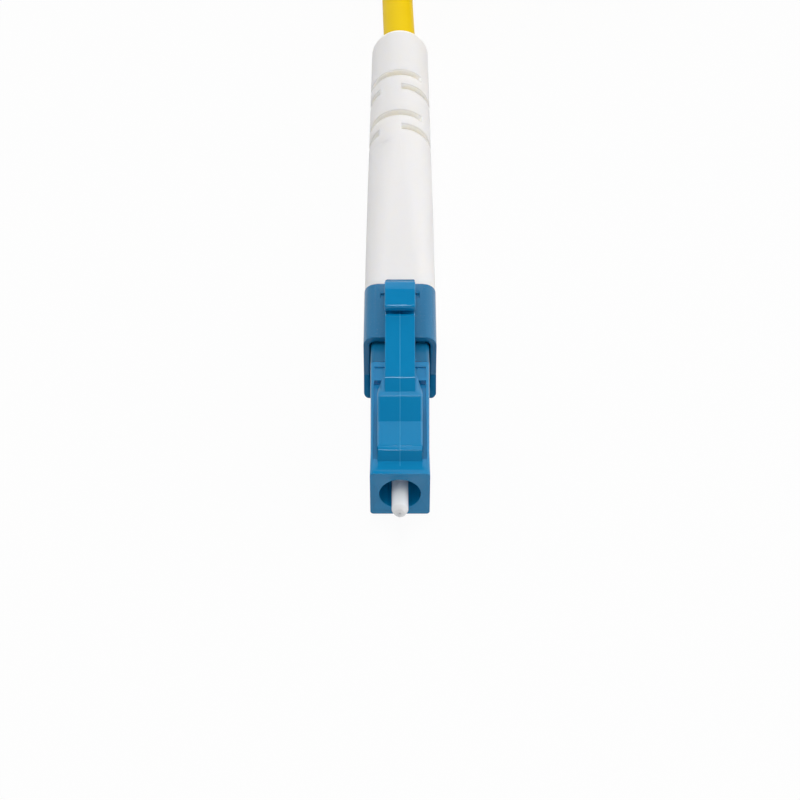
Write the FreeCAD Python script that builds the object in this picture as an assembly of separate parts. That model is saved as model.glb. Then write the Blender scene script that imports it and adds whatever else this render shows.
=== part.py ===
"""Fibre connector with a 1.25 mm ferrule, on a simplex patch cord one metre long.

The plug lies along Y on the flat bottom of its rear housing, with its ferrule towards -Y
and its latch up. The origin is below the middle of the plug, on the resting plane.
The cord leaves the boot towards +Y and is put away in a tied hank, and the plug on
the far end of the cord, a twin of the first, lies on the hank.

Every plug piece is drawn in the plug's own frame: Y = 0 is the front face of the body,
Y grows rearwards, and the ferrule's axis is the line X = Z = 0.
"""
import FreeCAD, Part
import math
import os
from FreeCAD import Placement, Rotation, Vector

# ---- Driving dimensions, millimetres and degrees -------------------------------------

# plug body, the front moulding
BODY_W = 4.48            # across the nose
BODY_WAIST_W = 4.42      # across the body's narrowest place
BODY_REAR_W = 4.62       # the mould's draft widens it rearwards
BODY_H = 4.40            # top to bottom
BODY_R = 0.25            # long edges
NOSE_LEN = 0.40          # the full-width nose
WAIST_Y = 2.6            # the sides draw in to here, then widen
SHOULDER_Y = 12.0        # end of the visible body, where the neck begins
NECK_END_Y = 15.5        # rear face of the moulding, inside the rear housing
NECK_DROP = 0.09         # the neck's top lies this much lower
BORE_R = 1.55            # front bore, which takes the adapter's sleeve
BORE_DEPTH = 4.3
WEB_END_Y = 5.0          # rear face of the web that stops the flange
WEB_HOLE_R = 1.20
FLANGE_POCKET_AF = 2.86  # hexagonal pocket that keys the flange
FLANGE_POCKET_END_Y = 7.6
CAVITY_R = 1.76          # round cavity for the spring and the crimp body
CHANNEL_W = 4.02         # recess that lets the latch down between two rails
CHANNEL_FLOOR_Z = 1.75
CHANNEL_Y = (1.55, 9.93)
POCKET_Y = (10.24, 11.45)   # shallow recess behind the channel
POCKET_DEPTH = 0.12

# latch, moulded on the plug body
LATCH_W = 3.40
LATCH_ARM_W = 2.30
LATCH_HINGE = (2.20, 2.65)   # Y, Z of the flexing root
LATCH_HINGE_R = 0.39
LATCH_BEVEL = 0.14

# rear housing and its trigger
REAR_W = 5.80
REAR_R = 0.95            # upper long edges
REAR_SOLE_R = 0.40       # lower long edges
REAR_WALL = 0.50
REAR_TOP_Y = 14.1        # front edge of the top
REAR_RAKE_Z = -1.2       # below this height the front edges rake forward
REAR_BOTTOM_Y = 13.1     # front edge of the bottom
REAR_SEAT_Y = 16.5       # inner shoulder against the crimp body's collar
REAR_HOLE_R = 2.14
REAR_END_Y = 20.45
TRIGGER_W = 2.38
TRIGGER_HINGE = (19.30, 3.35)
TRIGGER_HINGE_R = 0.345
HINGE_GAP = 0.02         # running gap round each flexing root

# ferrule train
FERRULE_R = 0.6245
FERRULE_TIP_Y = -2.0
FERRULE_END_Y = 6.5
FERRULE_PRESS_R = 0.60    # its pressed end tapers to this inside the flange
FERRULE_TRAVEL = 0.8     # how far the spring lets it back
FIBRE_R = 0.0625
FLANGE_AF = 2.70
FLANGE_COLLAR_END_Y = 6.6
FLANGE_TUBE_R = 0.80
FLANGE_TUBE_END_Y = 12.4
FLANGE_TUBE_BORE_R = 0.50
SPRING_WIRE_R = 0.15
SPRING_MEAN_R = 1.08
SPRING_TURNS = 5.5

# crimp body, sleeve and what they grip
CRIMP_FRONT_Y = 11.2
CRIMP_PRESS_R = CAVITY_R
CRIMP_COLLAR_R = 2.28
POST_R = 1.62
POST_END_Y = 23.5
GUIDE_BORE_R = 0.86      # running fit for the flange's tube
INNER_TUBE_R = 0.80
SLEEVE_R = 2.08
SLEEVE_STEP_Y = 24.3
SLEEVE_END_Y = 28.3
BUFFER_R = 0.45
JACKET_Y = 24.6          # where the stripped jacket begins
JACKET_BORE_R = 0.95

# boot
BOOT_END_Y = 58.18
BOOT_DOME_R = 1.80       # rounding of the rear end
BOOT_SLOT_W = 0.88
BOOT_SLOTS = ((50.25, 70.0), (48.08, -20.0), (44.05, 70.0), (41.95, -20.0))
BOOT_BRIDGE = 45.0       # arc left standing between the two slots of a ring

# cord and its hank
CABLE_R = 1.5
AXIS_Z = REAR_W / 2      # height of the plug's axis above the resting plane
TIE_T = 0.4
TIE_LEN = 6.0
LANE = 2 * CABLE_R + 0.06    # turns lie a diameter apart
HANK_GAP = 12.0          # from the boot's end to the hank's front
HANK_RUN = 47.2          # straight length of the hank
HANK_R = 12.0            # middle lane's fold
HANK_CLIMB = (0.28, 0.55)    # where on the far run the last turn climbs off the hank, from its rear
PLUG_MID_Y = (FERRULE_TIP_Y + BOOT_END_Y) / 2

# ---- Helpers -------------------------------------------------------------------------


def polygon(points):
    """A closed flat face through points."""
    return Part.Face(Part.makePolygon(points + points[:1]))


def side_profile(outline, width):
    """A (y, z) outline extruded across X, centred on the plug's middle plane."""
    face = polygon([Vector(-width / 2, y, z) for y, z in outline])
    return face.extrude(Vector(width, 0, 0))


def turned(outline):
    """A (y, radius) outline turned about the plug's axis."""
    face = polygon([Vector(r, y, 0) for y, r in outline])
    return face.revolve(Vector(), Vector(0, 1, 0), 360)


def rod(radius, y0, y1):
    """A round bar on the plug's axis."""
    return Part.makeCylinder(radius, y1 - y0, Vector(0, y0, 0), Vector(0, 1, 0))


def box(x0, x1, y0, y1, z0, z1):
    return Part.makeBox(x1 - x0, y1 - y0, z1 - z0, Vector(x0, y0, z0))


def cross_pin(centre, radius, width):
    """A round bar across X about a (y, z) centre."""
    return Part.makeCylinder(radius, width, Vector(-width / 2, *centre), Vector(1, 0, 0))


def rounded_section(width, height, radius, y, middle_z=0.0):
    """A rounded rectangle in the plane of one y, as a wire of four lines and four arcs."""
    a, b, r = width / 2, height / 2, radius
    diagonal = r * (1 - math.sqrt(0.5))
    edges = []
    for sx, sz, first_side in ((1, 1, True), (1, -1, False), (-1, -1, True), (-1, 1, False)):
        upright = Vector(sx * a, y, middle_z + sz * (b - r))
        level = Vector(sx * (a - r), y, middle_z + sz * b)
        corner = Vector(sx * (a - diagonal), y, middle_z + sz * (b - diagonal))
        start, end = (level, upright) if first_side else (upright, level)
        edges.append((start, corner, end))
    parts = []
    for (start, corner, end), following in zip(edges, edges[1:] + edges[:1]):
        parts.append(Part.Arc(start, corner, end).toShape())
        parts.append(Part.LineSegment(end, following[0]).toShape())
    return Part.Wire(parts)


def rounded_bar(width, height, radius, y0, y1, middle_z=0.0):
    """A bar along Y with a rounded rectangular section."""
    face = Part.Face(rounded_section(width, height, radius, y0, middle_z))
    return face.extrude(Vector(0, y1 - y0, 0))


def hexagon_bar(across_flats, y0, y1):
    """A hexagonal bar on the plug's axis, with flats above and below."""
    corner = across_flats / math.sqrt(3)
    points = []
    for k in range(6):
        turn = math.radians(60 * k)
        points.append(Vector(corner * math.cos(turn), y0, corner * math.sin(turn)))
    return polygon(points).extrude(Vector(0, y1 - y0, 0))


# ---- Plug body and latch -------------------------------------------------------------


def front_housing():
    """One moulding: square nose, drafted body, neck, and the fixed root of the latch."""
    nose = rounded_bar(BODY_W, BODY_H, BODY_R, 0, NOSE_LEN)
    waist = rounded_section(BODY_WAIST_W, BODY_H, BODY_R, WAIST_Y)
    shank = [
        Part.makeLoft([rounded_section(BODY_W, BODY_H, BODY_R, NOSE_LEN), waist], True),
        Part.makeLoft([waist, rounded_section(BODY_REAR_W, BODY_H, BODY_R, SHOULDER_Y)], True),
    ]
    neck_h = BODY_H - NECK_DROP
    neck = rounded_bar(BODY_REAR_W, neck_h, 0.35, SHOULDER_Y, NECK_END_Y, -NECK_DROP / 2)
    body = nose.fuse([*shank, neck])

    rails = box(-CHANNEL_W / 2, CHANNEL_W / 2, *CHANNEL_Y, CHANNEL_FLOOR_Z, BODY_H)
    groove = box(-BODY_W, BODY_W, SHOULDER_Y, SHOULDER_Y + 0.16, BODY_H / 2 - 0.3, BODY_H)
    pocket = box(-CHANNEL_W / 2, CHANNEL_W / 2, *POCKET_Y, BODY_H / 2 - POCKET_DEPTH, BODY_H)
    body = body.cut([rails, groove, pocket])

    top = BODY_H / 2
    hinge_y, hinge_z = LATCH_HINGE
    crest_z = hinge_z + LATCH_HINGE_R
    root = side_profile(
        [
            (0.50, top - 0.6),
            (0.47, top),
            (1.20, top + 0.10),
            (1.65, crest_z),
            (hinge_y, crest_z),
            (hinge_y, top - 0.45),
            (CHANNEL_Y[0], top - 0.6),
        ],
        LATCH_W - 0.1,
    )
    seat = cross_pin(LATCH_HINGE, LATCH_HINGE_R + HINGE_GAP, LATCH_W + 1)
    body = body.fuse(root).cut(seat)

    body = body.cut(rod(BORE_R, -1, BORE_DEPTH))
    body = body.cut(rod(WEB_HOLE_R, 0, WEB_END_Y + 1))
    body = body.cut(hexagon_bar(FLANGE_POCKET_AF, WEB_END_Y, FLANGE_POCKET_END_Y))
    return body.cut(rod(CAVITY_R, FLANGE_POCKET_END_Y, NECK_END_Y + 1)).removeSplitter()


def latch_lever():
    """The part of the latch that flexes: lug block, arm and turned-down tail."""
    hinge_y, hinge_z = LATCH_HINGE
    top, bottom = hinge_z + LATCH_HINGE_R, hinge_z - LATCH_HINGE_R
    lug_z = 4.2
    block = side_profile(
        [
            (hinge_y, bottom),
            (4.75, 2.38),
            (6.45, 3.38),
            (7.87, 3.38),
            (8.95, 3.95),
            (8.95, lug_z),
            (6.19, lug_z),
            (4.55, 3.12),
            (hinge_y, top),
        ],
        LATCH_W,
    )
    block = block.cut(latch_side_bevels()).cut([tail_wedge(side) for side in (-1, 1)])
    knuckle = cross_pin(LATCH_HINGE, LATCH_HINGE_R, LATCH_W - 0.1)
    arm = side_profile(
        [
            (6.40, 3.55),
            (7.90, 4.06),
            (13.45, 5.12),
            (14.62, 4.56),
            (14.84, 5.02),
            (13.62, 5.80),
            (13.40, 5.84),
            (7.55, 4.82),
            (6.65, lug_z),
            (6.40, lug_z - 0.2),
        ],
        LATCH_ARM_W,
    )
    return block.fuse([knuckle, arm]).removeSplitter()


def tail_wedge(side):
    """What is cut off one side of the lug block, so that its rear narrows to the arm."""
    narrow = LATCH_ARM_W / 2 - 0.03
    plan = [
        Vector(side * 1.72, 6.55, 2.5),
        Vector(side * narrow, 8.99, 2.5),
        Vector(side * 2.5, 8.99, 2.5),
        Vector(side * 2.5, 6.55, 2.5),
    ]
    return Part.Face(Part.makePolygon([*plan, plan[0]])).extrude(Vector(0, 0, 2.5))


def latch_side_bevels():
    """Wedges that take the long top edges off the latch block."""
    wedges = []
    for side in (-1, 1):
        edge = side * LATCH_W / 2
        for lower, upper in (((2.0, 3.04), (4.55, 3.12)), ((4.55, 3.12), (6.19, 4.2)), ((6.19, 4.2), (8.0, 4.2))):
            sections = []
            for y, z in (lower, upper):
                sections.append(
                    Part.makePolygon(
                        [
                            Vector(edge + side * 0.01, y, z - LATCH_BEVEL),
                            Vector(edge + side * 0.01, y, z + 0.3),
                            Vector(edge - side * LATCH_BEVEL, y, z + 0.3),
                            Vector(edge - side * LATCH_BEVEL, y, z + 0.002),
                            Vector(edge + side * 0.01, y, z - LATCH_BEVEL),
                        ]
                    )
                )
            wedges.append(Part.makeLoft(sections, True))
    return wedges


# ---- Rear housing and trigger --------------------------------------------------------


def rear_housing():
    """One moulding: a square sleeve with raked front edges and the trigger's fixed root."""
    half = REAR_W / 2
    sole = rounded_bar(REAR_W, REAR_W, REAR_SOLE_R, REAR_BOTTOM_Y, REAR_END_Y)
    sole = sole.common(box(-half, half, REAR_BOTTOM_Y, REAR_END_Y, -half, 0))
    sleeve = rounded_bar(REAR_W, REAR_W, REAR_R, REAR_BOTTOM_Y, REAR_END_Y).fuse(sole)
    inner = REAR_W - 2 * REAR_WALL
    sleeve = sleeve.cut(rounded_bar(inner, inner, REAR_R - REAR_WALL, 0, REAR_SEAT_Y))
    sleeve = sleeve.cut(rod(REAR_HOLE_R, 0, REAR_END_Y + 1))
    rake = side_profile(
        [
            (REAR_BOTTOM_Y - 1, half + 1),
            (REAR_TOP_Y, half + 1),
            (REAR_TOP_Y, REAR_RAKE_Z),
            (REAR_BOTTOM_Y, -half),
            (REAR_BOTTOM_Y - 1, -half),
        ],
        REAR_W + 1,
    )
    sleeve = sleeve.cut(rake)

    root = side_profile(
        [
            (REAR_END_Y, half - 0.4),
            (REAR_END_Y, 3.36),
            (REAR_END_Y - 0.14, 3.50),
            (19.90, 3.54),
            (19.56, 3.68),
            (19.40, 3.35),
            (19.30, half - 0.4),
        ],
        TRIGGER_W,
    )
    root = root.cut([rear_corner(side, half) for side in (-1, 1)])
    seat = cross_pin(TRIGGER_HINGE, TRIGGER_HINGE_R + HINGE_GAP, TRIGGER_W + 0.02)
    clearance = box(-TRIGGER_W, TRIGGER_W, 19.0, 19.30, half + 0.001, half + 0.2)
    housing = sleeve.fuse(root).cut(seat).cut(clearance)
    notch_x = TRIGGER_W / 2 + 0.20
    notch = box(notch_x - 0.17, notch_x + 0.17, 18.8, 19.3, half - 0.14, half + 1)
    notches = [notch, notch.mirror(Vector(0, 0, 0), Vector(1, 0, 0))]
    return housing.cut(notches).removeSplitter()


def rear_corner(side, base_z):
    """What is cut off one rear corner of the trigger's root."""
    edge = side * TRIGGER_W / 2
    plan = [
        Vector(edge - side * 0.22, REAR_END_Y + 0.01, base_z + 0.01),
        Vector(edge + side * 0.01, REAR_END_Y - 0.24, base_z + 0.01),
        Vector(edge + side * 0.01, REAR_END_Y + 0.01, base_z + 0.01),
    ]
    return Part.Face(Part.makePolygon([*plan, plan[0]])).extrude(Vector(0, 0, 2))


def trigger_lever():
    """The part of the trigger that flexes: a thin arm, a flat pad and a heel for the latch's tail."""
    hinge_y, hinge_z = TRIGGER_HINGE
    blade = side_profile(
        [
            (19.48, 3.61),
            (18.60, 4.33),
            (16.34, 6.76),
            (16.18, 6.90),
            (15.95, 6.95),
            (15.30, 6.90),
            (13.78, 6.58),
            (13.66, 6.50),
            (13.66, 6.13),
            (13.75, 6.04),
            (13.95, 6.04),
            (15.02, 5.36),
            (15.10, 5.05),
            (15.60, 5.10),
            (15.95, 5.78),
            (16.25, 5.75),
            (17.50, 4.35),
            (18.60, 3.30),
            (19.20, 3.02),
        ],
        TRIGGER_W,
    )
    knuckle = cross_pin(TRIGGER_HINGE, TRIGGER_HINGE_R, TRIGGER_W)
    trimmed = blade.cut(box(-5, 5, hinge_y, hinge_y + 2, 0, 9))
    return trimmed.fuse(knuckle).removeSplitter()


# ---- Ferrule train -------------------------------------------------------------------


def ferrule():
    """Ground zirconia: chamfered and slightly domed tip, with the fibre's hole."""
    tip, r = FERRULE_TIP_Y, FERRULE_R
    return turned(
        [
            (tip, FIBRE_R),
            (tip + 0.01, 0.26),
            (tip + 0.04, 0.40),
            (tip + 0.42, r),
            (WEB_END_Y, r),
            (FERRULE_END_Y, FERRULE_PRESS_R),
            (FERRULE_END_Y, 0.30),
            (FERRULE_END_Y - 0.7, FIBRE_R),
        ]
    )


def ferrule_flange():
    """Hexagonal collar pressed on the ferrule, drawn out into a tube for the buffer."""
    hexagon = hexagon_bar(FLANGE_AF, WEB_END_Y, FLANGE_COLLAR_END_Y)
    corner = FLANGE_AF / math.sqrt(3)
    lead_in = turned(
        [
            (WEB_END_Y, 0),
            (WEB_END_Y, corner - 0.25),
            (WEB_END_Y + 0.30, corner + 0.05),
            (FLANGE_COLLAR_END_Y, corner + 0.05),
            (FLANGE_COLLAR_END_Y, 0),
        ]
    )
    tube = rod(FLANGE_TUBE_R, FLANGE_COLLAR_END_Y - 0.5, FLANGE_TUBE_END_Y)
    collar = hexagon.common(lead_in).fuse(tube)
    seat = [(WEB_END_Y, 0), (WEB_END_Y, FERRULE_R), (FERRULE_END_Y, FERRULE_PRESS_R), (FERRULE_END_Y, 0)]
    collar = collar.cut(turned(seat))
    return collar.cut(rod(FLANGE_TUBE_BORE_R, 0, FLANGE_TUBE_END_Y + 1))


def fibre():
    """The glass fibre, from the polished tip to the buffer."""
    return rod(FIBRE_R, FERRULE_TIP_Y, FERRULE_END_Y + 2.2)


def spring():
    """Compression spring between the flange's collar and the crimp body."""
    y0 = FLANGE_COLLAR_END_Y + SPRING_WIRE_R + 0.01
    length = CRIMP_FRONT_Y - SPRING_WIRE_R - 0.01 - y0
    helix = Part.makeHelix(length / SPRING_TURNS, length, SPRING_MEAN_R)
    start = Vector(SPRING_MEAN_R, 0, 0)
    wire_face = Part.Wire(Part.makeCircle(SPRING_WIRE_R, start, Vector(0, 1, 0)))
    coil = Part.Wire(helix).makePipeShell([wire_face], True, True)
    coil.rotate(Vector(), Vector(1, 0, 0), -90)
    coil.translate(Vector(0, y0, 0))
    return coil


# ---- Crimp body, sleeve, yarn, buffer and jacket -------------------------------------


def crimp_body():
    """Turned metal body: barbed press fit, collar, and the ribbed post for the yarn."""
    outline = [(CRIMP_FRONT_Y, 0), (CRIMP_FRONT_Y, CRIMP_PRESS_R - 0.12)]
    for barb in range(3):
        y = CRIMP_FRONT_Y + 0.35 + barb * 1.1
        outline += [(y, CRIMP_PRESS_R - 0.12), (y + 0.7, CRIMP_PRESS_R), (y + 0.9, CRIMP_PRESS_R)]
        outline += [(y + 0.95, CRIMP_PRESS_R - 0.12)]
    outline += [(NECK_END_Y, CRIMP_PRESS_R - 0.12), (NECK_END_Y, CRIMP_COLLAR_R)]
    outline += [(REAR_SEAT_Y, CRIMP_COLLAR_R), (REAR_SEAT_Y, POST_R - 0.12)]
    for rib in range(8):
        y = REAR_SEAT_Y + 0.8 + rib * 0.72
        outline += [(y, POST_R - 0.12), (y + 0.12, POST_R), (y + 0.42, POST_R), (y + 0.54, POST_R - 0.12)]
    outline += [(POST_END_Y, POST_R - 0.12), (POST_END_Y, 0)]
    body = turned(outline)
    body = body.cut(rod(GUIDE_BORE_R, 0, FLANGE_TUBE_END_Y + FERRULE_TRAVEL + 0.4))
    return body.cut(rod(INNER_TUBE_R, 0, POST_END_Y + 1))


def inner_tube():
    """Soft guide tube that carries the buffered fibre through the crimp body."""
    start = FLANGE_TUBE_END_Y + FERRULE_TRAVEL + 0.4
    return rod(INNER_TUBE_R, start, POST_END_Y + 0.4).cut(rod(0.55, 0, POST_END_Y + 1))


def buffer():
    """Buffered fibre, stripped at its front so that the bare fibre can slide in it."""
    front = FERRULE_END_Y + FERRULE_TRAVEL + 0.3
    return rod(BUFFER_R, front, BOOT_END_Y).cut(rod(0.10, 0, front + 3))


def aramid_yarn():
    """Strength yarn: round the buffer in the jacket, fanned forward over the post."""
    return turned(
        [
            (REAR_SEAT_Y + 0.75, POST_R),
            (REAR_SEAT_Y + 0.75, POST_R + 0.14),
            (POST_END_Y + 0.2, POST_R + 0.14),
            (JACKET_Y, JACKET_BORE_R - 0.02),
            (BOOT_END_Y, JACKET_BORE_R - 0.02),
            (BOOT_END_Y, BUFFER_R),
            (JACKET_Y - 0.2, BUFFER_R),
            (JACKET_Y - 0.5, INNER_TUBE_R + 0.02),
            (POST_END_Y + 0.05, POST_R),
        ]
    )


def crimp_sleeve():
    """Stepped sleeve: the wide end grips the yarn, the narrow end grips the jacket."""
    wall = SLEEVE_R - (POST_R + 0.15)
    narrow = CABLE_R + 0.01
    return turned(
        [
            (REAR_SEAT_Y + 0.7, SLEEVE_R - wall),
            (REAR_SEAT_Y + 0.7, SLEEVE_R),
            (SLEEVE_STEP_Y, SLEEVE_R),
            (SLEEVE_STEP_Y + 0.4, narrow + wall),
            (SLEEVE_END_Y, narrow + wall),
            (SLEEVE_END_Y, narrow),
            (SLEEVE_STEP_Y + 0.15, narrow),
            (SLEEVE_STEP_Y - 0.15, SLEEVE_R - wall),
        ]
    )


def cable_end():
    """The cord's own jacket, from its stripped end to the boot's exit."""
    return rod(CABLE_R, JACKET_Y, BOOT_END_Y).cut(rod(JACKET_BORE_R, 0, BOOT_END_Y + 1))


# ---- Boot ----------------------------------------------------------------------------


def boot_section(y, half, corner):
    """A section of the boot with the same eight edges everywhere, so that they loft."""
    points = []
    flat = half - corner
    for quarter in range(4):
        turn = Rotation(Vector(0, 1, 0), 90 * quarter)
        for x, z in ((-flat, half), (0, half), (flat, half), (half - corner * (1 - math.sqrt(0.5)),) * 2):
            points.append(turn.multVec(Vector(x, 0, z)) + Vector(0, y, 0))
    edges = []
    for quarter in range(4):
        a, b, c, d = points[4 * quarter: 4 * quarter + 4]
        following = points[(4 * quarter + 4) % 16]
        edges.append(Part.LineSegment(a, c).toShape())
        edges.append(Part.Arc(c, d, following).toShape())
    return Part.Wire(edges)


def boot():
    """Soft moulding: square at the housing, round along the taper, domed at its end."""
    join_y = 40.0
    join_r = 2.80
    end_r = 2.66
    dome_y = BOOT_END_Y - math.sqrt(BOOT_DOME_R**2 - (CABLE_R - end_r + BOOT_DOME_R) ** 2)
    square = Part.makeLoft(
        [
            boot_section(REAR_END_Y, 2.88, 1.60),
            boot_section(30.0, 2.86, 2.15),
            boot_section(join_y, join_r, join_r - 0.06),
        ],
        True,
    )
    dome_middle = Vector(end_r - BOOT_DOME_R, dome_y, 0)
    half_way = math.radians(40)
    on_dome = dome_middle + Vector(math.cos(half_way), math.sin(half_way), 0) * BOOT_DOME_R
    outline = Part.Wire(
        [
            Part.LineSegment(Vector(0, join_y, 0), Vector(join_r - 0.01, join_y, 0)).toShape(),
            Part.LineSegment(Vector(join_r - 0.01, join_y, 0), Vector(end_r, dome_y, 0)).toShape(),
            Part.Arc(Vector(end_r, dome_y, 0), on_dome, Vector(CABLE_R, BOOT_END_Y, 0)).toShape(),
            Part.LineSegment(Vector(CABLE_R, BOOT_END_Y, 0), Vector(0, BOOT_END_Y, 0)).toShape(),
            Part.LineSegment(Vector(0, BOOT_END_Y, 0), Vector(0, join_y, 0)).toShape(),
        ]
    )
    tail = Part.Face(outline).revolve(Vector(), Vector(0, 1, 0), 360)
    body = square.fuse(tail)
    body = body.cut(rod(SLEEVE_R + 0.02, 0, SLEEVE_STEP_Y + 0.5))
    body = body.cut(rod(SLEEVE_R - 0.2, 0, SLEEVE_END_Y + 0.3))
    body = body.cut(rod(CABLE_R + 0.01, 0, BOOT_END_Y + 1))
    return body.cut([boot_slot(*ring, pair) for ring in BOOT_SLOTS for pair in (0, 180)])


def boot_slot(middle_y, bridge_turn, pair_turn):
    """Half of a ring of flex slots: an arc cut through the wall, with bridges each side."""
    reach = 180 - BOOT_BRIDGE
    cutter = polygon(
        [
            Vector(0, middle_y - BOOT_SLOT_W / 2, 0),
            Vector(4, middle_y - BOOT_SLOT_W / 2, 0),
            Vector(4, middle_y + BOOT_SLOT_W / 2, 0),
            Vector(0, middle_y + BOOT_SLOT_W / 2, 0),
        ]
    ).revolve(Vector(), Vector(0, 1, 0), reach)
    # the cutter starts at +X and turns towards -Z; 0 degrees of a ring is +Z
    cutter.rotate(Vector(), Vector(0, 1, 0), bridge_turn - 90 + BOOT_BRIDGE / 2 + pair_turn)
    return cutter


# ---- Cord, hank and ties -------------------------------------------------------------


def plug_place(x, y, z, turned_round):
    """Where a plug's frame goes: its front face on the axis at x, y, z."""
    turn = Rotation(Vector(0, 0, 1), 180 if turned_round else 0)
    return Placement(Vector(x, y, z), turn)


LEAD_EXIT = Vector(0, BOOT_END_Y - PLUG_MID_Y, AXIS_Z)
LOW_Z = CABLE_R + TIE_T                       # lower layer of the hank
HIGH_Z = LOW_Z + LANE                         # upper layer
HANK_FRONT_Y = LEAD_EXIT.y + HANK_GAP + HANK_R + LANE + CABLE_R
HANK_REAR_Y = HANK_FRONT_Y + HANK_RUN
HANK_X = HANK_R + LANE                        # middle of the hank; its outer lane is in line
FAR_X = HANK_X - HANK_R                       # the far plug lies over the lead side's middle lane
FAR_AXIS_Z = HIGH_Z + CABLE_R + REAR_W / 2
FAR_BOOT_Y = HANK_FRONT_Y + 5.0
TIE_Y = FAR_BOOT_Y + BOOT_END_Y - 25.6         # on the plain, square part of the far boot
LEAD_ROUTE = (
    LEAD_EXIT,
    LEAD_EXIT + Vector(0, 8.0, 0),
    Vector(0, LEAD_EXIT.y + 17.0, LOW_Z + 0.1),
    Vector(0, HANK_FRONT_Y - 2.0, LOW_Z),
    Vector(0, HANK_FRONT_Y + 6.0, LOW_Z),
)


def hull_of_circles(circles, extra):
    """The wire of a belt round circles given as (x, z, radius), clockwise, in the plane y = 0."""
    tangents = []
    for (x0, z0, r0), (x1, z1, r1) in zip(circles, circles[1:] + circles[:1]):
        gap = math.hypot(x1 - x0, z1 - z0)
        along = math.atan2(z1 - z0, x1 - x0)
        normal = along + math.pi / 2 + math.asin((r1 - r0) / gap)
        out = Vector(math.cos(normal), 0, math.sin(normal))
        tangents.append((Vector(x0, 0, z0) + out * (r0 + extra), Vector(x1, 0, z1) + out * (r1 + extra), out))
    edges = []
    for k, (start, end, out) in enumerate(tangents):
        following = tangents[(k + 1) % len(tangents)]
        x, z, r = circles[(k + 1) % len(circles)]
        edges.append(Part.LineSegment(start, end).toShape())
        between = out + following[2]
        if between.Length < 1e-6:
            between = Vector(end.x - start.x, 0, end.z - start.z)
        between.normalize()
        edges.append(Part.Arc(end, Vector(x, 0, z) + between * (r + extra), following[0]).toShape())
    return Part.Wire(edges)


def bundle_circles(middle_x):
    """Hull circles of one side of the hank, three strands below and two above."""
    half_groove = LANE / 2
    return [
        (middle_x - LANE, LOW_Z, CABLE_R),
        (middle_x - half_groove, HIGH_Z, CABLE_R),
        (middle_x + half_groove, HIGH_Z, CABLE_R),
        (middle_x + LANE, LOW_Z, CABLE_R),
    ]


def cord_hank():
    """Outer shape of the tied hank, with the last fold that climbs to the far plug."""
    left = Part.Face(hull_of_circles(bundle_circles(HANK_X - HANK_R), 0))
    right = Part.Face(hull_of_circles(bundle_circles(HANK_X + HANK_R), 0))
    runs = []
    for side in (left, right):
        side.translate(Vector(0, HANK_FRONT_Y, 0))
        runs.append(side.extrude(Vector(0, HANK_RUN, 0)))
    upright = Vector(0, 0, 1)
    front = left.revolve(Vector(HANK_X, HANK_FRONT_Y, 0), upright, 180)
    rear_face = right.copy()
    rear_face.translate(Vector(0, HANK_RUN, 0))
    rear = rear_face.revolve(Vector(HANK_X, HANK_REAR_Y, 0), upright, 180)
    return front.fuse([*runs, rear, *last_turn()]).removeSplitter()


def last_turn():
    """The last strand: it climbs off the far run, then folds round to the far plug's axis."""
    x = HANK_X + HANK_R + LANE / 2
    over_z = HIGH_Z + LANE
    start = Vector(x, HANK_FRONT_Y, over_z)
    end = Vector(FAR_X, HANK_FRONT_Y, FAR_AXIS_Z)
    axis = (end - start).cross(Vector(0, -1, 0))
    disc = Part.Face(Part.Wire(Part.makeCircle(CABLE_R, end, Vector(0, 1, 0))))
    fold = disc.revolve((start + end) * 0.5, axis, 180)
    foot, head = (HANK_REAR_Y - HANK_RUN * share for share in HANK_CLIMB)
    climb = [start, Vector(x, head, over_z), Vector(x, foot, HIGH_Z)]
    strand = [fold]
    for before, after in zip(climb, climb[1:]):
        way = after - before
        strand.append(Part.makeCylinder(CABLE_R, way.Length, before, way))
        strand.append(Part.makeSphere(CABLE_R, after))
    return strand


def fillet_route(points):
    """Straight runs joined by tangent arcs, each as large as its two runs allow."""
    edges, at = [], points[0]
    for before, corner, after in zip(points, points[1:], points[2:]):
        back, on = before - corner, after - corner
        half_turn = (math.pi - back.getAngle(on)) / 2
        reach = 0.45 * min(back.Length, on.Length)
        radius = reach / math.tan(half_turn)
        print(f"cord arc radius {radius:.1f} mm")
        start = corner + back.normalize() * reach
        end = corner + on.normalize() * reach
        to_centre = (back + on).normalize()
        depth = radius / math.cos(half_turn) - radius
        edges.append(Part.LineSegment(at, start).toShape())
        edges.append(Part.Arc(start, corner + to_centre * depth, end).toShape())
        at = end
    edges.append(Part.LineSegment(at, points[-1]).toShape())
    return Part.Wire(edges)


def cord_lead():
    """The cord from the boot's exit down to the hank, as a plain tube."""
    path = fillet_route(LEAD_ROUTE)
    ring = Part.Wire(Part.makeCircle(CABLE_R, LEAD_ROUTE[0], LEAD_ROUTE[1] - LEAD_ROUTE[0]))
    tube = path.makePipeShell([ring], True, False)
    print(f"cord_lead volume {tube.Volume:.1f}, section x length {math.pi * CABLE_R**2 * path.Length:.1f}")
    return tube


def cord_tail():
    """The short straight end of the cord, from the last fold to the far boot."""
    start = Vector(FAR_X, HANK_FRONT_Y, FAR_AXIS_Z)
    return Part.makeCylinder(CABLE_R, FAR_BOOT_Y - HANK_FRONT_Y, start, Vector(0, 1, 0))


def tie(circles, middle_y):
    """A strap of hook and loop tape pulled tight round circles."""
    band = Part.Face(hull_of_circles(circles, TIE_T)).cut(Part.Face(hull_of_circles(circles, 0)))
    band.translate(Vector(0, middle_y - TIE_LEN / 2, 0))
    return band.extrude(Vector(0, TIE_LEN, 0))


def tie_far():
    """Strap round the far side of the hank alone."""
    return tie(bundle_circles(HANK_X + HANK_R), TIE_Y)


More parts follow.
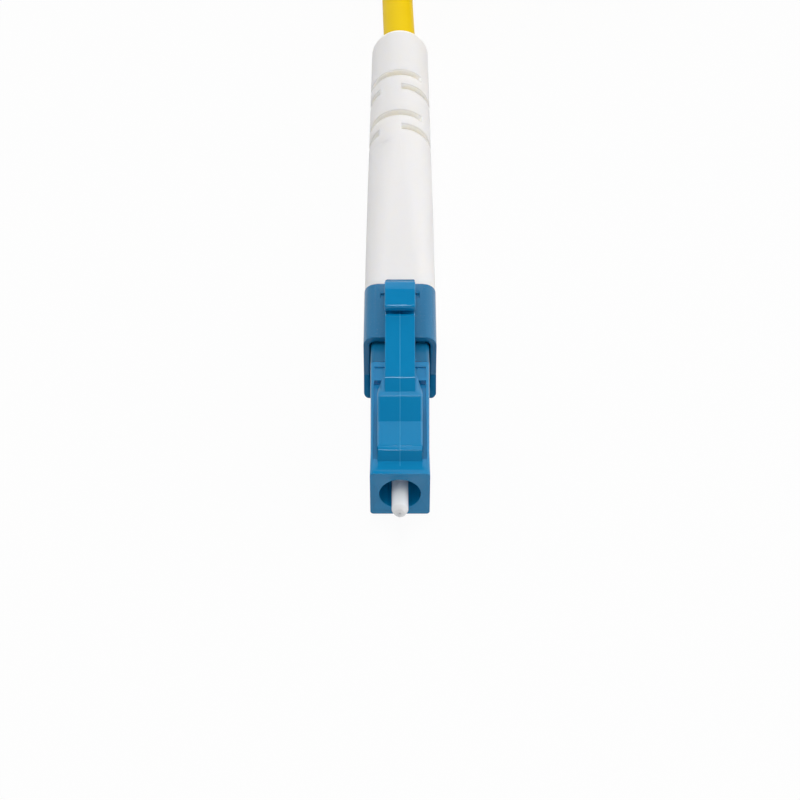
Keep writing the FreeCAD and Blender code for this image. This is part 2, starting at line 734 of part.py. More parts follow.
def tie_lead():
    """Strap round the lead side of the hank and the far plug's boot on it."""
    corner_r = 1.9
    offset = 2.88 - corner_r
    circles = bundle_circles(HANK_X - HANK_R)
    boot_corners = [(FAR_X + side * offset, FAR_AXIS_Z + offset, corner_r) for side in (-1, 1)]
    return tie([circles[0], *boot_corners, circles[3]], TIE_Y)


# ---- Assembly ------------------------------------------------------------------------

PLUG_PIECES = {
    "front_housing": front_housing,
    "latch_lever": latch_lever,
    "rear_housing": rear_housing,
    "trigger_lever": trigger_lever,
    "ferrule": ferrule,
    "ferrule_flange": ferrule_flange,
    "fibre": fibre,
    "spring": spring,
    "crimp_body": crimp_body,
    "inner_tube": inner_tube,
    "buffer": buffer,
    "aramid_yarn": aramid_yarn,
    "crimp_sleeve": crimp_sleeve,
    "cable_end": cable_end,
    "boot": boot,
}
CORD_PIECES = {
    "cord_lead": cord_lead,
    "cord_hank": cord_hank,
    "cord_tail": cord_tail,
    "tie_lead": tie_lead,
    "tie_far": tie_far,
}
NEAR = plug_place(0, -PLUG_MID_Y, AXIS_Z, False)
FAR = plug_place(FAR_X, FAR_BOOT_Y + BOOT_END_Y, FAR_AXIS_Z, True)


def export(name, shape):
    """Writes one node as parts/NAME.step, after a check that it is one sound solid."""
    if len(shape.Solids) != 1 or not shape.isValid():
        print(f"CHECK {name}: {len(shape.Solids)} solids, valid {shape.isValid()}")
    solid = shape.Solids[0]
    solid.exportStep(f"parts/{name}.step")


os.makedirs("parts", exist_ok=True)
for piece_name, make in PLUG_PIECES.items():
    piece = make()
    for prefix, place in (("", NEAR), ("far_", FAR)):
        placed = piece.copy()
        placed.Placement = place.multiply(piece.Placement)
        export(prefix + piece_name, placed)
for piece_name, make in CORD_PIECES.items():
    export(piece_name, make())
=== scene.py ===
"""Fibre connector on a one metre simplex patch cord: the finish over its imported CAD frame.

The near plug lies along Y with its ferrule towards -Y and its latch up. The cord leaves
its boot towards +Y and is put away in a tied hank, on which the far plug lies. The
object's sizes are named in millimetres, and MM turns them into Blender's metres.
"""
import math

import bmesh
import bpy
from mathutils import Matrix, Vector
from mathutils.bvhtree import BVHTree


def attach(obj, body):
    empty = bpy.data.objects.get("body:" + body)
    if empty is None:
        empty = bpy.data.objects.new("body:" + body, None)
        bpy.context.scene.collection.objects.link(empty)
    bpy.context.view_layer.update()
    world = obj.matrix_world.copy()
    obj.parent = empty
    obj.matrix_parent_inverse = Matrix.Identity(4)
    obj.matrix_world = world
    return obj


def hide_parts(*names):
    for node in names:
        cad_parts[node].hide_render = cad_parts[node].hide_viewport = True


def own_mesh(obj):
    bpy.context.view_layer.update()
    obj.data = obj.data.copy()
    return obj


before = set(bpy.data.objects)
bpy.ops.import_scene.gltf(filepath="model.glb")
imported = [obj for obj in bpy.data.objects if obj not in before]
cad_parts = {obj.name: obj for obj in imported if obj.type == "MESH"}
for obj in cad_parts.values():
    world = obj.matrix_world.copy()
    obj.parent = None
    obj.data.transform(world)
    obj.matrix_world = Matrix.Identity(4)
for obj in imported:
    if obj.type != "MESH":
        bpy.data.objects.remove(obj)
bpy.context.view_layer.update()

# ---- Camera --------------------------------------------------------------------------
# A long lens looks down on the plug from in front of its nose, along the plug's own
# middle plane, so that the boot and the cord run away up the picture.
LENS_MM = 86.94
CAMERA_PLACE = (0.0, -0.12564, 0.10932)
LOOK_DOWN_DEG = 44.7
camera_data = bpy.data.cameras.new("camera")
camera_data.sensor_width = 36.0
camera_data.lens = LENS_MM
camera_data.clip_start = 0.005
camera_data.clip_end = 5.0
camera = bpy.data.objects.new("camera", camera_data)
camera.location = CAMERA_PLACE
camera.rotation_euler = (math.radians(90.0 - LOOK_DOWN_DEG), 0.0, 0.0)
bpy.context.scene.collection.objects.link(camera)
bpy.context.scene.camera = camera

# ---- Cord ----------------------------------------------------------------------------
# Simplex optical cable with a soft yellow jacket, 3 mm across. It leaves the boot
# straight, comes down to the resting plane and lies in a hank of five turns, three
# below and two above. Its last fold climbs to the boot of the far plug.
MM = 0.001
CABLE_R = 1.5
LANE = 3.06                      # from the middle of one strand to the next
HANK_R = 12.0                    # of the middle lane where it folds
HANK_FRONT_Y = 58.65
HANK_RUN = 47.2                  # the straight part between the two folds
HANK_REAR_Y = HANK_FRONT_Y + HANK_RUN
HANK_X = HANK_R + LANE
LOW_Z = 1.9                      # middle of the lower layer
HIGH_Z = LOW_Z + LANE
OVER_Z = HIGH_Z + LANE
BOOT_EXIT_Y = 30.09
PLUG_AXIS_Z = 2.9
FAR_X = HANK_X - HANK_R
FAR_AXIS_Z = HIGH_Z + CABLE_R + PLUG_AXIS_Z
FAR_BOOT_Y = HANK_FRONT_Y + 5.0
LEAD_STRAIGHT = 8.0              # from the boot, before the cord starts to come down
LEAD_DOWN = 17.0                 # from the boot, where it is down
LEAD_SWAY = -0.3                 # the cord wanders a little to one side on the way
FOLD_CORNERS = 5
FOLD_STEP = math.pi / FOLD_CORNERS


class Tone:
    """A value in a material's nodes. Arithmetic on it adds Math nodes."""

    def __init__(self, tree, socket=None):
        self.tree = tree
        self.socket = socket

    def node(self, kind, settings=None, sockets=None, output=0):
        """Adds a node: its settings come first, then its sockets' values or links."""
        made = self.tree.nodes.new(kind)
        for name, value in (settings or {}).items():
            setattr(made, name, value)
        for name, value in (sockets or {}).items():
            if isinstance(value, Tone):
                self.tree.links.new(value.socket, made.inputs[name])
            else:
                made.inputs[name].default_value = value
        return Tone(self.tree, made.outputs[output])

    def output(self, which):
        """Another output of the node that this value comes from."""
        return Tone(self.tree, self.socket.node.outputs[which])

    def maths(self, operation, first, second):
        """A Math node on two values, each a Tone or a number."""
        return self.node("ShaderNodeMath", {"operation": operation}, {0: first, 1: second})

    def __add__(self, other):
        return self.maths("ADD", self, other)

    def __sub__(self, other):
        return self.maths("SUBTRACT", self, other)

    def __rsub__(self, other):
        return self.maths("SUBTRACT", other, self)

    def __mul__(self, other):
        return self.maths("MULTIPLY", self, other)

    def __lt__(self, other):
        return self.maths("LESS_THAN", self, other)

    def __gt__(self, other):
        return self.maths("GREATER_THAN", self, other)

    def __abs__(self):
        return self.maths("ABSOLUTE", self, 0.0)

    __radd__ = __add__
    __rmul__ = __mul__

    def axes(self):
        """The x, y and z of a place or a direction."""
        x = self.node("ShaderNodeSeparateXYZ", sockets={0: self})
        return x, x.output(1), x.output(2)

    def between(self, low, high):
        """A colour that goes from low to high as this value goes from 0 to 1."""
        # on a Mix node set to colours, inputs 6 and 7 and output 2 are the colours'
        sockets = {"Factor": self, 6: low, 7: high}
        return self.node("ShaderNodeMix", {"data_type": "RGBA"}, sockets, output=2)


def srgb(red, green, blue):
    """A colour given as screen values from 0 to 255."""
    linear = []
    for value in (red, green, blue):
        v = value / 255.0
        linear.append(v / 12.92 if v <= 0.04045 else ((v + 0.055) / 1.055) ** 2.4)
    return (*linear, 1.0)


def finish_material(name, constants, paint):
    """A Principled material: constants on its own sockets, paint(place) for what varies."""
    material = bpy.data.materials.new(name)
    material.use_nodes = True
    tree = material.node_tree
    shader = tree.nodes["Principled BSDF"]
    for socket, value in constants.items():
        shader.inputs[socket].default_value = value
    place = Tone(tree).node("ShaderNodeTexCoord", output="Object")
    for socket, tone in paint(place).items():
        tree.links.new(tone.socket, shader.inputs[socket])
    return material


def speckle(place, per_mm, detail=2.0, roughness=0.5):
    """Noise with about per_mm grains to the millimetre, from 0 to 1."""
    return place.node(
        "ShaderNodeTexNoise",
        sockets={"Vector": place, "Scale": per_mm / MM, "Detail": detail, "Roughness": roughness},
    )


def relief(place, height, depth_mm):
    """A bumped normal from a height of 0 to 1 that is depth_mm deep."""
    return place.node(
        "ShaderNodeBump",
        sockets={"Height": height, "Strength": 1.0, "Distance": depth_mm * MM},
    )


def jacket_paint(place):
    """Extruded yellow: faint clouding, and a fine orange peel."""
    clouds = speckle(place, 0.35)
    peel = speckle(place, 6.0, 3.0)
    return {
        "Base Color": clouds.between(srgb(238, 200, 4), srgb(244, 209, 8)),
        "Roughness": peel * 0.12 + 0.42,
        "Normal": relief(place, peel, 0.006),
    }


jacket_finish = finish_material("cord_jacket", {"Specular IOR Level": 0.1}, jacket_paint)


def fold(start_turn, radii, heights, middle_y):
    """Corners of the tangent polygon of a half turn, which the curve touches between them."""
    corners = []
    for k, (radius, height) in enumerate(zip(radii, heights)):
        turn = start_turn - (k + 0.5) * FOLD_STEP
        reach = radius / math.cos(FOLD_STEP / 2)
        x = HANK_X + reach * math.cos(turn)
        y = middle_y + reach * math.sin(turn)
        corners.append((x, y, height))
    return corners


def steady(value):
    """The same value at each corner of a fold."""
    return (value,) * FOLD_CORNERS


def graded(first, last, shares):
    """Values at a fold's corners, from first at a share of 0 to last at a share of 1."""
    return [first + (last - first) * share for share in shares]


def full_turn(lane, z, next_lane, next_z, when, crossing=()):
    """Corners of a turn: back along the run at -X, round, forward at +X and round again.

    The front fold leads to the next turn's lane and height by the shares in when. Where
    the strand shifts on the run at +X already, crossing gives the places: how far along
    the run, and the lane and height there.
    """
    radius = HANK_R + lane
    inset = radius * math.tan(FOLD_STEP / 2)     # lets the curve meet the folds squarely
    right_x = HANK_X + HANK_R
    last_lane, last_z = crossing[-1][1:] if crossing else (lane, z)
    front_radii = graded(HANK_R + last_lane, HANK_R + next_lane, when)
    front_heights = graded(last_z, next_z, when)
    return [
        (HANK_X - radius, HANK_FRONT_Y + inset, z),
        (HANK_X - radius, HANK_REAR_Y - inset, z),
        *fold(math.pi, steady(radius), steady(z), HANK_REAR_Y),
        (HANK_X + radius, HANK_REAR_Y - inset, z),
        *((right_x + there, HANK_REAR_Y - HANK_RUN * share, height)
          for share, there, height in crossing),
        (right_x + last_lane, HANK_FRONT_Y + inset, last_z),
        *fold(0.0, front_radii, front_heights, HANK_FRONT_Y),
    ]


# How much of the shift to the next turn is made at each corner of the front fold.
LATE = (0.0, 0.0, 0.25, 0.75, 1.0)
EARLY = (0.1, 0.5, 0.9, 1.0, 1.0)
EVEN = (0.1, 0.3, 0.5, 0.7, 0.9)
AT_ONCE = steady(1.0)
HALF_LANE = LANE / 2             # the upper layer lies in the hollows of the lower
change_lane = ((0.60, -HALF_LANE, HIGH_Z), (0.86, HALF_LANE, HIGH_Z))
climb_over = ((0.29, HALF_LANE, HIGH_Z), (0.54, HALF_LANE, OVER_Z))
route = [
    (0.0, BOOT_EXIT_Y, PLUG_AXIS_Z),
    (LEAD_SWAY, BOOT_EXIT_Y + LEAD_STRAIGHT, PLUG_AXIS_Z),
    (LEAD_SWAY, BOOT_EXIT_Y + LEAD_DOWN, LOW_Z + 0.1),
    (0.0, HANK_FRONT_Y - 2.0, LOW_Z),
    *full_turn(LANE, LOW_Z, 0.0, LOW_Z, LATE),
    *full_turn(0.0, LOW_Z, -LANE, LOW_Z, LATE),
    *full_turn(-LANE, LOW_Z, -HALF_LANE, HIGH_Z, EARLY),
    *full_turn(-HALF_LANE, HIGH_Z, HALF_LANE, HIGH_Z, AT_ONCE, change_lane),
    *full_turn(HALF_LANE, HIGH_Z, 0.0, FAR_AXIS_Z, EVEN, climb_over),
    (FAR_X, HANK_FRONT_Y + 2.5, FAR_AXIS_Z),
    (FAR_X, FAR_BOOT_Y, FAR_AXIS_Z),
]

cord_curve = bpy.data.curves.new("cord", "CURVE")
cord_curve.dimensions = "3D"
cord_curve.bevel_depth = CABLE_R * MM
cord_curve.bevel_resolution = 6
cord_curve.use_fill_caps = True
cord_curve.resolution_u = 10
strand = cord_curve.splines.new("NURBS")
strand.points.add(len(route) - 1)
for point, corner in zip(strand.points, route):
    point.co = (*(Vector(corner) * MM), 1.0)
strand.order_u = 3
strand.use_endpoint_u = True
cord = bpy.data.objects.new("cord", cord_curve)
bpy.context.scene.collection.objects.link(cord)
cord_curve.materials.append(jacket_finish)
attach(cord, "plug_and_cord")
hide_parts("cord_lead", "cord_hank", "cord_tail")

# ---- Jacket inside the boots ---------------------------------------------------------
# The last stretch of the same yellow jacket at each end of the cord. The crimp sleeve
# grips it, and the boot's flex slots let one see it.
PREFIXES = ("", "far_")          # the near plug's pieces, and those of its far twin


def dress(node, material):
    """Gives a node of the frame its only material."""
    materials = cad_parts[node].data.materials
    materials.clear()
    materials.append(material)


for prefix in PREFIXES:
    dress(prefix + "cable_end", jacket_finish)

# ---- Plug body and latch -------------------------------------------------------------
# Both are one injection moulding in blue, glass-filled plastic, split here at the
# latch's root so that it can flex. Its edges are rounded and a mould line runs up its top.
BODY_EDGE = 0.035
LATCH_EDGE = 0.05
SHARP = math.radians(18.0)       # faces that meet at more than this make an edge
KNIFE = math.radians(125.0)      # past this an edge is too thin to be rounded
LEVEL = math.radians(0.5)        # faces that meet at less than this lie in one plane
WELD = 0.0005                    # closes the seams between loose triangles
ROOM_BESIDE = 1.2                # what a neighbouring edge has to measure, in widths
RUNS_ON = -0.85                  # cosine below which a neighbour carries the edge on
RUNS_BACK = 0.7                  # cosine above which a neighbour lies along the edge


def roundable(edge, width):
    """True for an outer edge, short of a knife edge, with room at its ends for the rounding."""
    if not edge.is_convex or not SHARP < edge.calc_face_angle(0.0) < KNIFE:
        return False
    for end in edge.verts:
        along = (edge.other_vert(end).co - end.co).normalized()
        for side in end.link_edges:
            reach = side.other_vert(end).co - end.co
            lean = along.dot(reach.normalized())
            cramped = reach.length < ROOM_BESIDE * width and lean > RUNS_ON
            pointed = lean > RUNS_BACK and side.calc_face_angle(0.0) > SHARP
            if side != edge and (cramped or pointed):
                return False
    return True


OUTLINE_STEP = 5.0               # the longest edge within a rounded outline, in widths


def open_corners(skin, width):
    """Takes the flat triangles out of each rounded outline, so that it can be inset evenly."""
    outline = {}
    for start in skin.verts:
        waiting = [start]
        while waiting:
            vert = waiting.pop()
            if vert in outline:
                continue
            outline[vert] = start
            for edge in vert.link_edges:
                short = edge.calc_length() < OUTLINE_STEP * width
                if short and edge.calc_face_angle(0.0) > SHARP:
                    waiting.append(edge.other_vert(vert))
    flats = [
        edge
        for edge in skin.edges
        if outline[edge.verts[0]] == outline[edge.verts[1]] and edge.calc_face_angle(1.0) < LEVEL
    ]
    bmesh.ops.dissolve_edges(skin, edges=flats, use_verts=False, use_face_split=False)


FACES_AWAY = -0.2                # cosine to the old skin of a face that has folded over
STRAYS = 0.5                     # how far a face may leave the old skin, in widths
NEARBY = 1.7                     # corners this near to a fold stay sharp, in widths
SPECK_AREA = 1e-12               # square metres, too small a face to judge


def rounded(skin, width):
    """A skin with its sharp edges rounded, save the few whose rounding would fold over."""
    before = BVHTree.FromBMesh(skin)
    facing = [face.normal.copy() for face in skin.faces]
    skin.verts.index_update()
    spared = set()
    while True:
        trial = skin.copy()
        edges = [edge for edge in trial.edges if roundable(edge, width)]
        bmesh.ops.bevel(
            trial,
            geom=[edge for edge in edges if not spared & {end.index for end in edge.verts}],
            affect="EDGES",
            offset_type="OFFSET",
            offset=width,
            segments=2,
            profile=0.5,
            clamp_overlap=False,
            loop_slide=True,
            material=-1,
        )
        bmesh.ops.triangulate(trial, faces=trial.faces)
        folded = []
        for face in trial.faces:
            middle = face.calc_center_median()
            _, _, nearest, distance = before.find_nearest(middle)
            turned = face.normal.dot(facing[nearest]) < FACES_AWAY
            if face.calc_area() > SPECK_AREA and (turned or distance > STRAYS * width):
                folded += [middle, *(corner.co.copy() for corner in face.verts)]
        beside = {
            vert.index
            for vert in skin.verts
            if any((vert.co - spot).length < NEARBY * width for spot in folded)
        }
        if beside <= spared:
            return trial
        spared |= beside
        trial.free()


OUTER_CREASE = math.radians(50.0)
INNER_CREASE = math.radians(16.0)
PANEL_CREASE = math.radians(5.0)
PANEL = 0.4                      # the breadth from which a face is a panel


def crisp(edge, panel_mm):
    """True at a corner, and at a slight bend between two panels broader than panel_mm."""
    angle = edge.calc_face_angle(0.0)
    corner = angle > (OUTER_CREASE if edge.is_convex else INNER_CREASE)
    broad = panel_mm * MM * edge.calc_length()
    panels = all(2.0 * face.calc_area() > broad for face in edge.link_faces)
    return corner or (panels and angle > PANEL_CREASE)


def new_piece(name, skin, material):
    """An object at the origin, made from a bmesh that it frees."""
    mesh = bpy.data.meshes.new(name)
    skin.to_mesh(mesh)
    skin.free()
    mesh.materials.append(material)
    piece = bpy.data.objects.new(name, mesh)
    bpy.context.scene.collection.objects.link(piece)
    return piece


def rounded_skin(node, name, edge_mm, material, body, weld_mm=WELD, panel_mm=PANEL):
    """A piece in place of a CAD node: its skin welded, with its sharp edges rounded."""
    skin = bmesh.new()
    skin.from_mesh(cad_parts[node].data)
    bmesh.ops.remove_doubles(skin, verts=skin.verts, dist=weld_mm * MM)
    bmesh.ops.dissolve_degenerate(skin, edges=skin.edges, dist=weld_mm * MM)
    open_corners(skin, edge_mm * MM)
    dressed = rounded(skin, edge_mm * MM)
    skin.free()
    for face in dressed.faces:
        face.smooth = True
    for edge in dressed.edges:
        edge.smooth = not crisp(edge, panel_mm)
    piece = new_piece(name, dressed, material)
    flats = piece.modifiers.new("flat faces", "WEIGHTED_NORMAL")
    flats.mode = "FACE_AREA"
    flats.keep_sharp = True
    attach(piece, body)
    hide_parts(node)


SEAM_HALF_WIDTH = 0.035
PLUG_TOP_Z = 5.14                # the mould line is drawn above this, on the levers
FAR_TOP_Z = 11.60
NECK_Y = -16.09                  # where the matt neck with its painted shade starts, behind the channel
FAR_NECK_Y = 109.83
NECK_RISE = 0.34                 # how far above PLUG_TOP_Z the neck still reaches


def mould_line_and_painted_highlight_mask(place):
    """1 along the mould line on either plug's levers, where its ridge and its painted highlight
    go, 0 elsewhere.
    """
    x, _, z = place.axes()
    near = (abs(x) < SEAM_HALF_WIDTH * MM) * (z > PLUG_TOP_Z * MM)
    far = (abs(x - FAR_X * MM) < SEAM_HALF_WIDTH * MM) * (z > FAR_TOP_Z * MM)
    return near + far


def matt_neck_and_painted_shade_mask(place):
    """1 on the matt band behind either plug's channel, which also takes painted shade, 0
    elsewhere.
    """
    _, y, z = place.axes()
    near = (y > NECK_Y * MM) * (y < 0.0) * (z < (PLUG_TOP_Z + NECK_RISE) * MM)
    far = (y < FAR_NECK_Y * MM) * (y > 0.0) * (z < (FAR_TOP_Z + NECK_RISE) * MM)
    return near + far


def body_paint(place):
    """Blue moulding: flow clouds, a fine grain, the matt neck with painted shade where the rear
    shell overhangs it, and the mould line with a painted highlight.
    """
    clouds = speckle(place, 0.5, 3.0)
    grain = speckle(place, 14.0, 3.0)
    mould_line_and_highlight = mould_line_and_painted_highlight_mask(place)
    neck_matt_and_shade = matt_neck_and_painted_shade_mask(place)
    blue = clouds.between(srgb(0, 126, 180), srgb(4, 132, 186))
    return {
        # painted highlight: the mould line's paler blue stands in for light caught by its ridge;
        # its bump is the real ridge
        "Base Color": (mould_line_and_highlight * 0.4).between(
            # painted shade: the neck's darker blue stands in for the shadow of the rear shell
            # over it
            neck_matt_and_shade.between(blue, srgb(10, 108, 152)),
            srgb(70, 170, 215),
        ),
        "Roughness": grain * 0.05 + neck_matt_and_shade * 0.12 + 0.14,
        "Normal": relief(place, grain * 0.03 + mould_line_and_highlight * 0.8, 0.010),
    }


body_finish = finish_material("blue_body", {"Specular IOR Level": 0.4}, body_paint)
for prefix in PREFIXES:
    rounded_skin(
        prefix + "front_housing", prefix + "plug_body", BODY_EDGE, body_finish,
        "plug_and_cord",
    )
    rounded_skin(
        prefix + "latch_lever", prefix + "latch", LATCH_EDGE, body_finish,
        prefix + "latch",
    )

# ---- Rear housing and trigger --------------------------------------------------------
# A second moulding in a slightly greyer blue, snapped over the back of the body. Its
# trigger leans forward over the latch's tail.
REAR_EDGE = 0.06


def rear_paint(place):
    """Greyer blue moulding with a fine grain."""
    clouds = speckle(place, 0.4, 3.0)
    grain = speckle(place, 12.0, 3.0)
    return {
        "Base Color": clouds.between(srgb(8, 108, 154), srgb(14, 115, 162)),
        "Roughness": grain * 0.08 + 0.22,
        "Normal": relief(place, grain, 0.0006),
    }


def trigger_paint(place):
    """The trigger's thin arm takes the body's clearer blue."""
    clouds = speckle(place, 0.6, 3.0)
    grain = speckle(place, 12.0, 3.0)
    return {
        "Base Color": clouds.between(srgb(0, 127, 182), srgb(4, 133, 188)),
        "Roughness": grain * 0.05 + 0.13,
        "Normal": relief(place, grain, 0.0004),
    }


rear_finish = finish_material("blue_rear", {"Specular IOR Level": 0.4}, rear_paint)
trigger_finish = finish_material("blue_trigger", {"Specular IOR Level": 0.4}, trigger_paint)
for prefix in PREFIXES:
    rounded_skin(
        prefix + "rear_housing", prefix + "rear_shell", REAR_EDGE, rear_finish,
        "plug_and_cord",
    )
    rounded_skin(
        prefix + "trigger_lever", prefix + "trigger_arm", REAR_EDGE, trigger_finish,
        prefix + "trigger",
    )

# ---- Boot ----------------------------------------------------------------------------
# Soft white thermoplastic elastomer, pushed on over the crimp. Flex slots near its end
# let it bend, and their edges are slightly rounded.
BOOT_EDGE = 0.07
BOOT_SKIN_R = 2.60               # inside this the surface belongs to a slot's walls
BOOT_WELD = 0.02                 # takes out the fine slivers where round meets square
ROUND_ALL_OVER = 9.0             # no panel is this broad, so no slight bend is creased


def inside_boot(place, x, z):
    """1 where a boot along Y at x, z is cut into, 0 on its outer skin."""
    aside = place.node(
        "ShaderNodeVectorMath",
        {"operation": "SUBTRACT"},
        {0: place, 1: (x * MM, 0.0, z * MM)},
    )
    across = place.node(
        "ShaderNodeVectorMath",
        {"operation": "MULTIPLY"},
        {0: aside, 1: (1.0, 0.0, 1.0)},
    )
    radius = place.node(
        "ShaderNodeVectorMath",
        {"operation": "LENGTH"},
        {0: across},
        output="Value",
    )
    return radius < BOOT_SKIN_R * MM


def boot_paint(place):
    """Off-white with a matt, finely pitted surface; the slots' walls are painted whiter, as
    painted light for the light they catch.
    """
    clouds = speckle(place, 0.12, 2.0)
    pits = speckle(place, 9.0, 3.0)
    slot_walls_painted_light = inside_boot(place, 0.0, PLUG_AXIS_Z) + inside_boot(place, FAR_X, FAR_AXIS_Z)
    skin = clouds.between(srgb(230, 229, 229), srgb(237, 235, 235))
    return {
        # painted light: the slot walls are made near white to stand in for light scattered into
        # them
        "Base Color": slot_walls_painted_light.between(skin, srgb(253, 253, 252)),
        "Roughness": pits * 0.15 + 0.48,
        "Normal": relief(place, pits, 0.004),
    }


boot_finish = finish_material(
    "white_boot",
    {
        "Specular IOR Level": 0.3,
        "Subsurface Weight": 1.0,
        "Subsurface Radius": (1.0, 0.95, 0.85),
        "Subsurface Scale": 1.0 * MM,
    },
    boot_paint,
)
for prefix in PREFIXES:
    rounded_skin(
        prefix + "boot", prefix + "bend_boot", BOOT_EDGE, boot_finish,
        "plug_and_cord", weld_mm=BOOT_WELD, panel_mm=ROUND_ALL_OVER,
    )

# ---- Ferrule and fibre ---------------------------------------------------------------
# The ferrule is zirconia ceramic, ground to 1.249 mm across. The glass fibre is bonded in
# its bore, and both are polished together to a shallow dome.
FERRULE_EDGE = 0.05


def ferrule_paint(place):
    """Cool white ceramic with faint grinding rings."""
    rings = place.node(
        "ShaderNodeTexWave",
        {"wave_type": "BANDS", "bands_direction": "Y"},
        {"Vector": place, "Scale": 4.0 / MM, "Distortion": 1.5, "Detail": 2.0},
    )
    clouds = speckle(place, 0.8)
    return {
        "Base Color": clouds.between(srgb(236, 238, 244), srgb(242, 244, 248)),
        "Roughness": rings * 0.06 + 0.16,
        "Normal": relief(place, rings, 0.0006),
    }


def fibre_paint(place):
    """Polished glass end, a little darker than the ceramic round it."""
    clouds = speckle(place, 20.0)
    return {
        "Base Color": clouds.between(srgb(214, 219, 224), srgb(226, 230, 234)),
        "Roughness": clouds * 0.1 + 0.35,
    }


ferrule_finish = finish_material(
    "zirconia",
    {
        "Specular IOR Level": 0.5,
        "Subsurface Weight": 1.0,
        "Subsurface Radius": (1.0, 1.0, 1.0),
        "Subsurface Scale": 2.0 * MM,
    },
    ferrule_paint,
)
fibre_finish = finish_material("fibre_glass", {"Specular IOR Level": 0.5}, fibre_paint)
for prefix in PREFIXES:
    rounded_skin(
        prefix + "ferrule", prefix + "ceramic_ferrule", FERRULE_EDGE, ferrule_finish,
        prefix + "ferrule_unit", panel_mm=ROUND_ALL_OVER,
    )
    dress(prefix + "fibre", fibre_finish)

# ---- Metal parts ---------------------------------------------------------------------
# The flange, crimp body and sleeve are turned brass with a nickel plate. The spring is
# steel wire; in use it shortens against the crimp body as the ferrule is pushed in, but
# here it keeps its rest length.
SPRING_SEAT_Y = -16.89           # where the spring rests on the crimp body
FAR_SPRING_SEAT_Y = 110.63


def nickel_paint(place):
    """Satin nickel with fine turning marks."""
    rings = place.node(
        "ShaderNodeTexWave",
        {"wave_type": "BANDS", "bands_direction": "Y"},
        {"Vector": place, "Scale": 9.0 / MM, "Distortion": 0.8, "Detail": 2.0},
    )
    clouds = speckle(place, 0.9)
    return {
        "Base Color": clouds.between(srgb(186, 184, 176), srgb(204, 202, 194)),
        "Roughness": rings * 0.12 + 0.24,
        "Normal": relief(place, rings, 0.002),
    }


nickel_finish = finish_material("nickel_plate", {"Metallic": 1.0}, nickel_paint)
for prefix, seat_y in zip(PREFIXES, (SPRING_SEAT_Y, FAR_SPRING_SEAT_Y)):
    for node in ("ferrule_flange", "crimp_body", "crimp_sleeve"):
        dress(prefix + node, nickel_finish)
    coils = bmesh.new()
    coils.from_mesh(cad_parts[prefix + "spring"].data)
    bmesh.ops.remove_doubles(coils, verts=coils.verts, dist=WELD * MM)
    for face in coils.faces:
        face.smooth = True
    wire = new_piece(prefix + "spring_wire", coils, nickel_finish)
    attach(wire, "plug_and_cord")
    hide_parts(prefix + "spring")
    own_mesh(wire)


# ---- Yarn, tube and buffer -----------------------------------------------------------
# The aramid yarn is fanned over the crimp post. The buffered fibre runs in a soft guide
# tube on the cord's axis. The boot and the housings close them all in.
def yarn_paint(place):
    """Straw coloured filaments that run along the cord."""
    stretched = place.node(
        "ShaderNodeMapping",
        sockets={"Vector": place, "Scale": (1.0, 0.05, 1.0)},
    )
    strands = speckle(stretched, 12.0, 2.0)
    return {
        "Base Color": strands.between(srgb(206, 176, 82), srgb(236, 212, 128)),
        "Roughness": strands * 0.2 + 0.5,
        "Normal": relief(place, strands, 0.02),
    }


def tube_paint(place):
    """Milky extruded plastic."""
    clouds = speckle(place, 2.0)
    return {
        "Base Color": clouds.between(srgb(222, 224, 218), srgb(236, 236, 230)),
        "Roughness": clouds * 0.1 + 0.4,
    }


yarn_finish = finish_material("aramid_yarn", {}, yarn_paint)
tube_finish = finish_material("milky_tube", {}, tube_paint)
for prefix in PREFIXES:
    dress(prefix + "aramid_yarn", yarn_finish)
    dress(prefix + "inner_tube", tube_finish)
    dress(prefix + "buffer", tube_finish)

# ---- Ties ----------------------------------------------------------------------------
# Black hook and loop tape, 6 mm wide, pulled round the hank and, on the lead side,
# round the far plug's boot as well.
TAPE_EDGE = 0.08


def tape_paint(place):
    """Black woven loops."""
    weave = place.node(
        "ShaderNodeTexVoronoi",
        sockets={"Vector": place, "Scale": 3.5 / MM},
    )
    fluff = speckle(place, 5.0, 4.0)
    return {
        "Base Color": (weave * 0.6 + fluff * 0.4).between(srgb(18, 18, 20), srgb(58, 58, 62)),
        "Roughness": fluff * 0.1 + 0.85,
        "Normal": relief(place, weave + fluff * 0.5, 0.08),
    }


tape_finish = finish_material("tie_tape", {"Specular IOR Level": 0.2}, tape_paint)
for node in ("tie_lead", "tie_far"):
    rounded_skin(node, node + "_tape", TAPE_EDGE, tape_finish, "plug_and_cord")

# ---- Floor ---------------------------------------------------------------------------
# A pale table top. It throws light back on the plug as matt grey card does, and shows
# white to the camera and in reflections.
FLOOR_HALF = 3.0
FLOOR_GREY = 0.72
FLOOR_WHITENESS = 0.95           # the rest lets the plug's shadow show
WHITE = (1.0, 1.0, 1.0, 1.0)
floor_finish = bpy.data.materials.new("table_top")
floor_finish.use_nodes = True
floor_tree = floor_finish.node_tree
floor_tree.nodes.remove(floor_tree.nodes["Principled BSDF"])
table = Tone(floor_tree)
paper = table.node(
    "ShaderNodeBsdfDiffuse",
    sockets={"Color": (FLOOR_GREY, FLOOR_GREY, FLOOR_GREY, 1.0)},
)
white = table.node("ShaderNodeEmission", sockets={"Color": WHITE, "Strength": 1.0})
rays = table.node("ShaderNodeLightPath", output="Is Camera Ray")
seen = rays + rays.output("Is Glossy Ray") + rays.output("Is Transmission Ray")
mixed = table.node(
    "ShaderNodeMixShader",
    sockets={0: seen * FLOOR_WHITENESS, 1: paper, 2: white},
)
floor_tree.links.new(mixed.socket, floor_tree.nodes["Material Output"].inputs["Surface"])
floor_shape = bmesh.new()
bmesh.ops.create_grid(floor_shape, x_segments=1, y_segments=1, size=FLOOR_HALF)
floor = new_piece("floor", floor_shape, floor_finish)

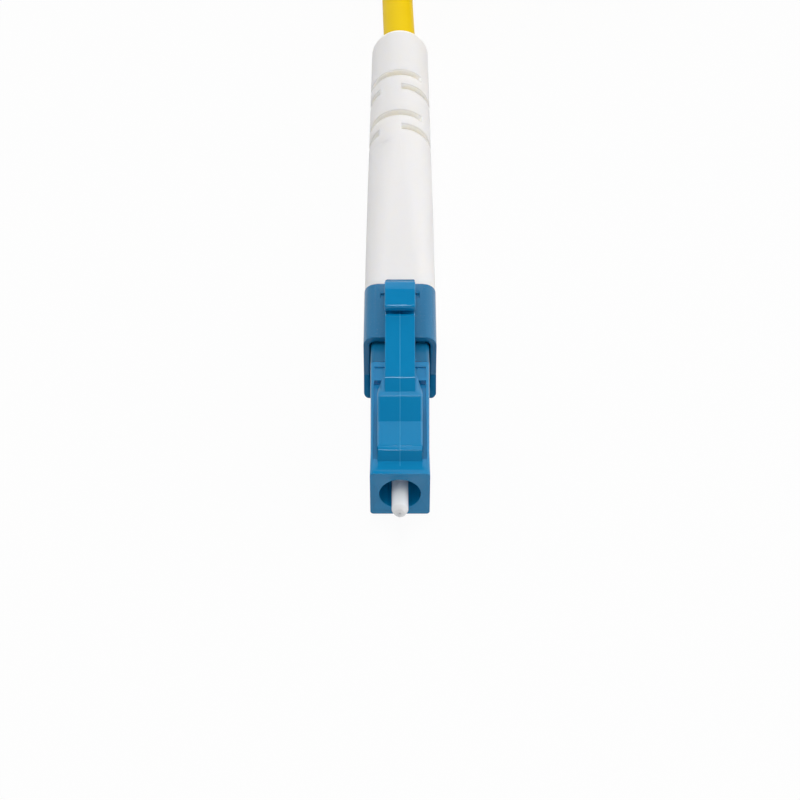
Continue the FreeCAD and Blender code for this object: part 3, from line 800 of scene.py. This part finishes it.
# ---- Studio --------------------------------------------------------------------------
# A bright backdrop stands behind the plug and a dimmer band runs round the room. Soft
# boxes hang above the plug, in front of it and at both sides.
BACKDROP_GLOW = 0.9
BACKDROP_SIDES = (0.10, 0.45)    # each pair is where a soft edge starts and ends, as a
BACKDROP_TOP = (0.72, 0.83)      # share of the way towards the back, the front or the top
BAND_GLOW = 0.55
BAND_TOP = (0.25, 0.55)
FRONT_SIDES = (0.45, 0.85)
FRONT_DIMMING = 0.8              # of the band in front of the plug
ROOM_GLOW = 0.06
RIGHT_GAIN = 0.25                # how much brighter the room is on the right
sky = bpy.data.worlds.new("studio")
sky.use_nodes = True
sky_tree = sky.node_tree
sky_background = sky_tree.nodes["Background"]
sky_seen = Tone(sky_tree).node("ShaderNodeLightPath", output="Is Camera Ray")
toward = Tone(sky_tree).node("ShaderNodeTexCoord", output="Generated")
right, back, up = toward.axes()


def rising(value, start, end):
    """0 before start and 1 after end, with a soft step between."""
    return value.node(
        "ShaderNodeMapRange",
        {"interpolation_type": "SMOOTHSTEP"},
        {"Value": value, "From Min": start, "From Max": end, "To Min": 0.0, "To Max": 1.0},
    )


backdrop = rising(back, *BACKDROP_SIDES) * (1.0 - rising(up, *BACKDROP_TOP))
front = rising(back * -1.0, *FRONT_SIDES)
band = (1.0 - rising(up, *BAND_TOP)) * (1.0 - front * FRONT_DIMMING)
glow = backdrop * BACKDROP_GLOW + band * (1.0 - backdrop) * BAND_GLOW + ROOM_GLOW
glow = glow * (right * RIGHT_GAIN + 1.0)
sky_strength = sky_seen + (1.0 - sky_seen) * glow
sky_background.inputs["Color"].default_value = WHITE
sky_tree.links.new(sky_strength.socket, sky_background.inputs["Strength"])
bpy.context.scene.world = sky


def softbox(name, place, size, watts):
    """A square lamp that faces the plug."""
    lamp = bpy.data.lights.new(name, "AREA")
    lamp.size = size
    lamp.energy = watts
    holder = bpy.data.objects.new(name, lamp)
    holder.location = place
    holder.rotation_euler = (Vector() - Vector(place)).to_track_quat("-Z", "Y").to_euler()
    bpy.context.scene.collection.objects.link(holder)


softbox("top_box", place=(0.0, 0.0, 0.45), size=0.20, watts=0.95)
softbox("front_box", place=(0.0, -0.34, 0.31), size=0.07, watts=0.30)
softbox("right_box", place=(0.38, 0.02, 0.24), size=0.30, watts=0.45)
softbox("left_box", place=(-0.38, 0.02, 0.24), size=0.30, watts=0.24)
bpy.context.scene.view_settings.view_transform = "Standard"
